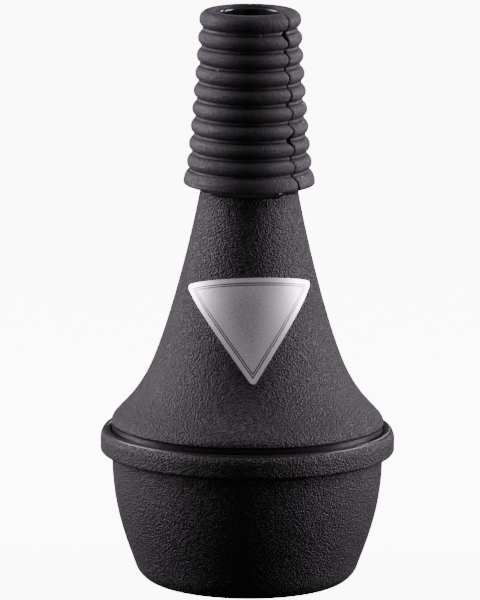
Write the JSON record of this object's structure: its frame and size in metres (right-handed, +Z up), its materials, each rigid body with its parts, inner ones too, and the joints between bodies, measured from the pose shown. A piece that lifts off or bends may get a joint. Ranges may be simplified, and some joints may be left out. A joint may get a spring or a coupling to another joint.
{
  "type": "trumpet practice mute",
  "caption": "Trumpet practice mute: black crackle-coated metal cone and cup joined by a rolled rim, with a ribbed rubber sleeve round the neck and a bare triangular nameplate.",
  "frame": {"origin": "middle of the base, on the surface that the mute stands on", "axes": "+Z up the mute's axis to the open neck, -Y towards the nameplate, +X to the right seen from the nameplate's side"},
  "size_m": [0.0842, 0.0842, 0.1652],
  "materials": {
    "crackle_coat": "black wrinkle coat, satin, on spun aluminium",
    "seal_rubber": "matte black rubber",
    "sleeve_rubber": "moulded black rubber, dull, lightly scuffed",
    "cement": "dried black contact cement, glossy",
    "gloss_black_metal": "smooth glossy black paint",
    "silver_foil": "satin brushed foil with a thin dark border line",
    "felt": "dense grey felt",
    "brass": "plain drawn brass",
    "plated_steel": "zinc plated"
  },
  "bodies": {
    "root": {"body_cone": "crackle_coat", "bottom_cup": "crackle_coat", "rim_seal": "seal_rubber", "ribbed_sleeve": "sleeve_rubber", "cement_bead": "cement", "throat_tube": "gloss_black_metal", "nameplate": "silver_foil", "damping_ring": "felt", "vent_eyelet": "brass", "vent_washer": "plated_steel"}
  },
  "joints": []
}
